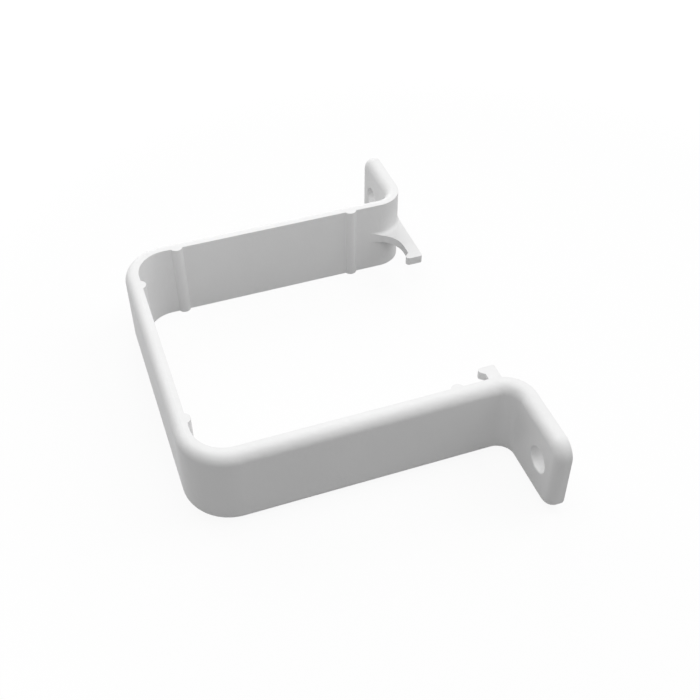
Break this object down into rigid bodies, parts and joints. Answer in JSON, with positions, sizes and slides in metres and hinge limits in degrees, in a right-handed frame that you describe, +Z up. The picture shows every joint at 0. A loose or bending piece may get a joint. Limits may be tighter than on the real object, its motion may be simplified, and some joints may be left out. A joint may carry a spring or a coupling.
{
  "type": "square pipe clip",
  "caption": "White moulded clip that holds a square downpipe to a wall: a U-shaped band with rounded outer edges, crush ribs, hooks behind the pipe and screw ears.",
  "frame": {"origin": "on the wall plane, midway between the two screw holes, at half the clip's height", "axes": "+Z up along the pipe, +Y into the wall, +X to the right for someone who faces the wall"},
  "size_m": [0.1156, 0.0754, 0.02],
  "materials": {
    "white_plastic": "satin moulded white"
  },
  "bodies": {
    "root": {"pipe_clip": "white_plastic"}
  },
  "joints": []
}
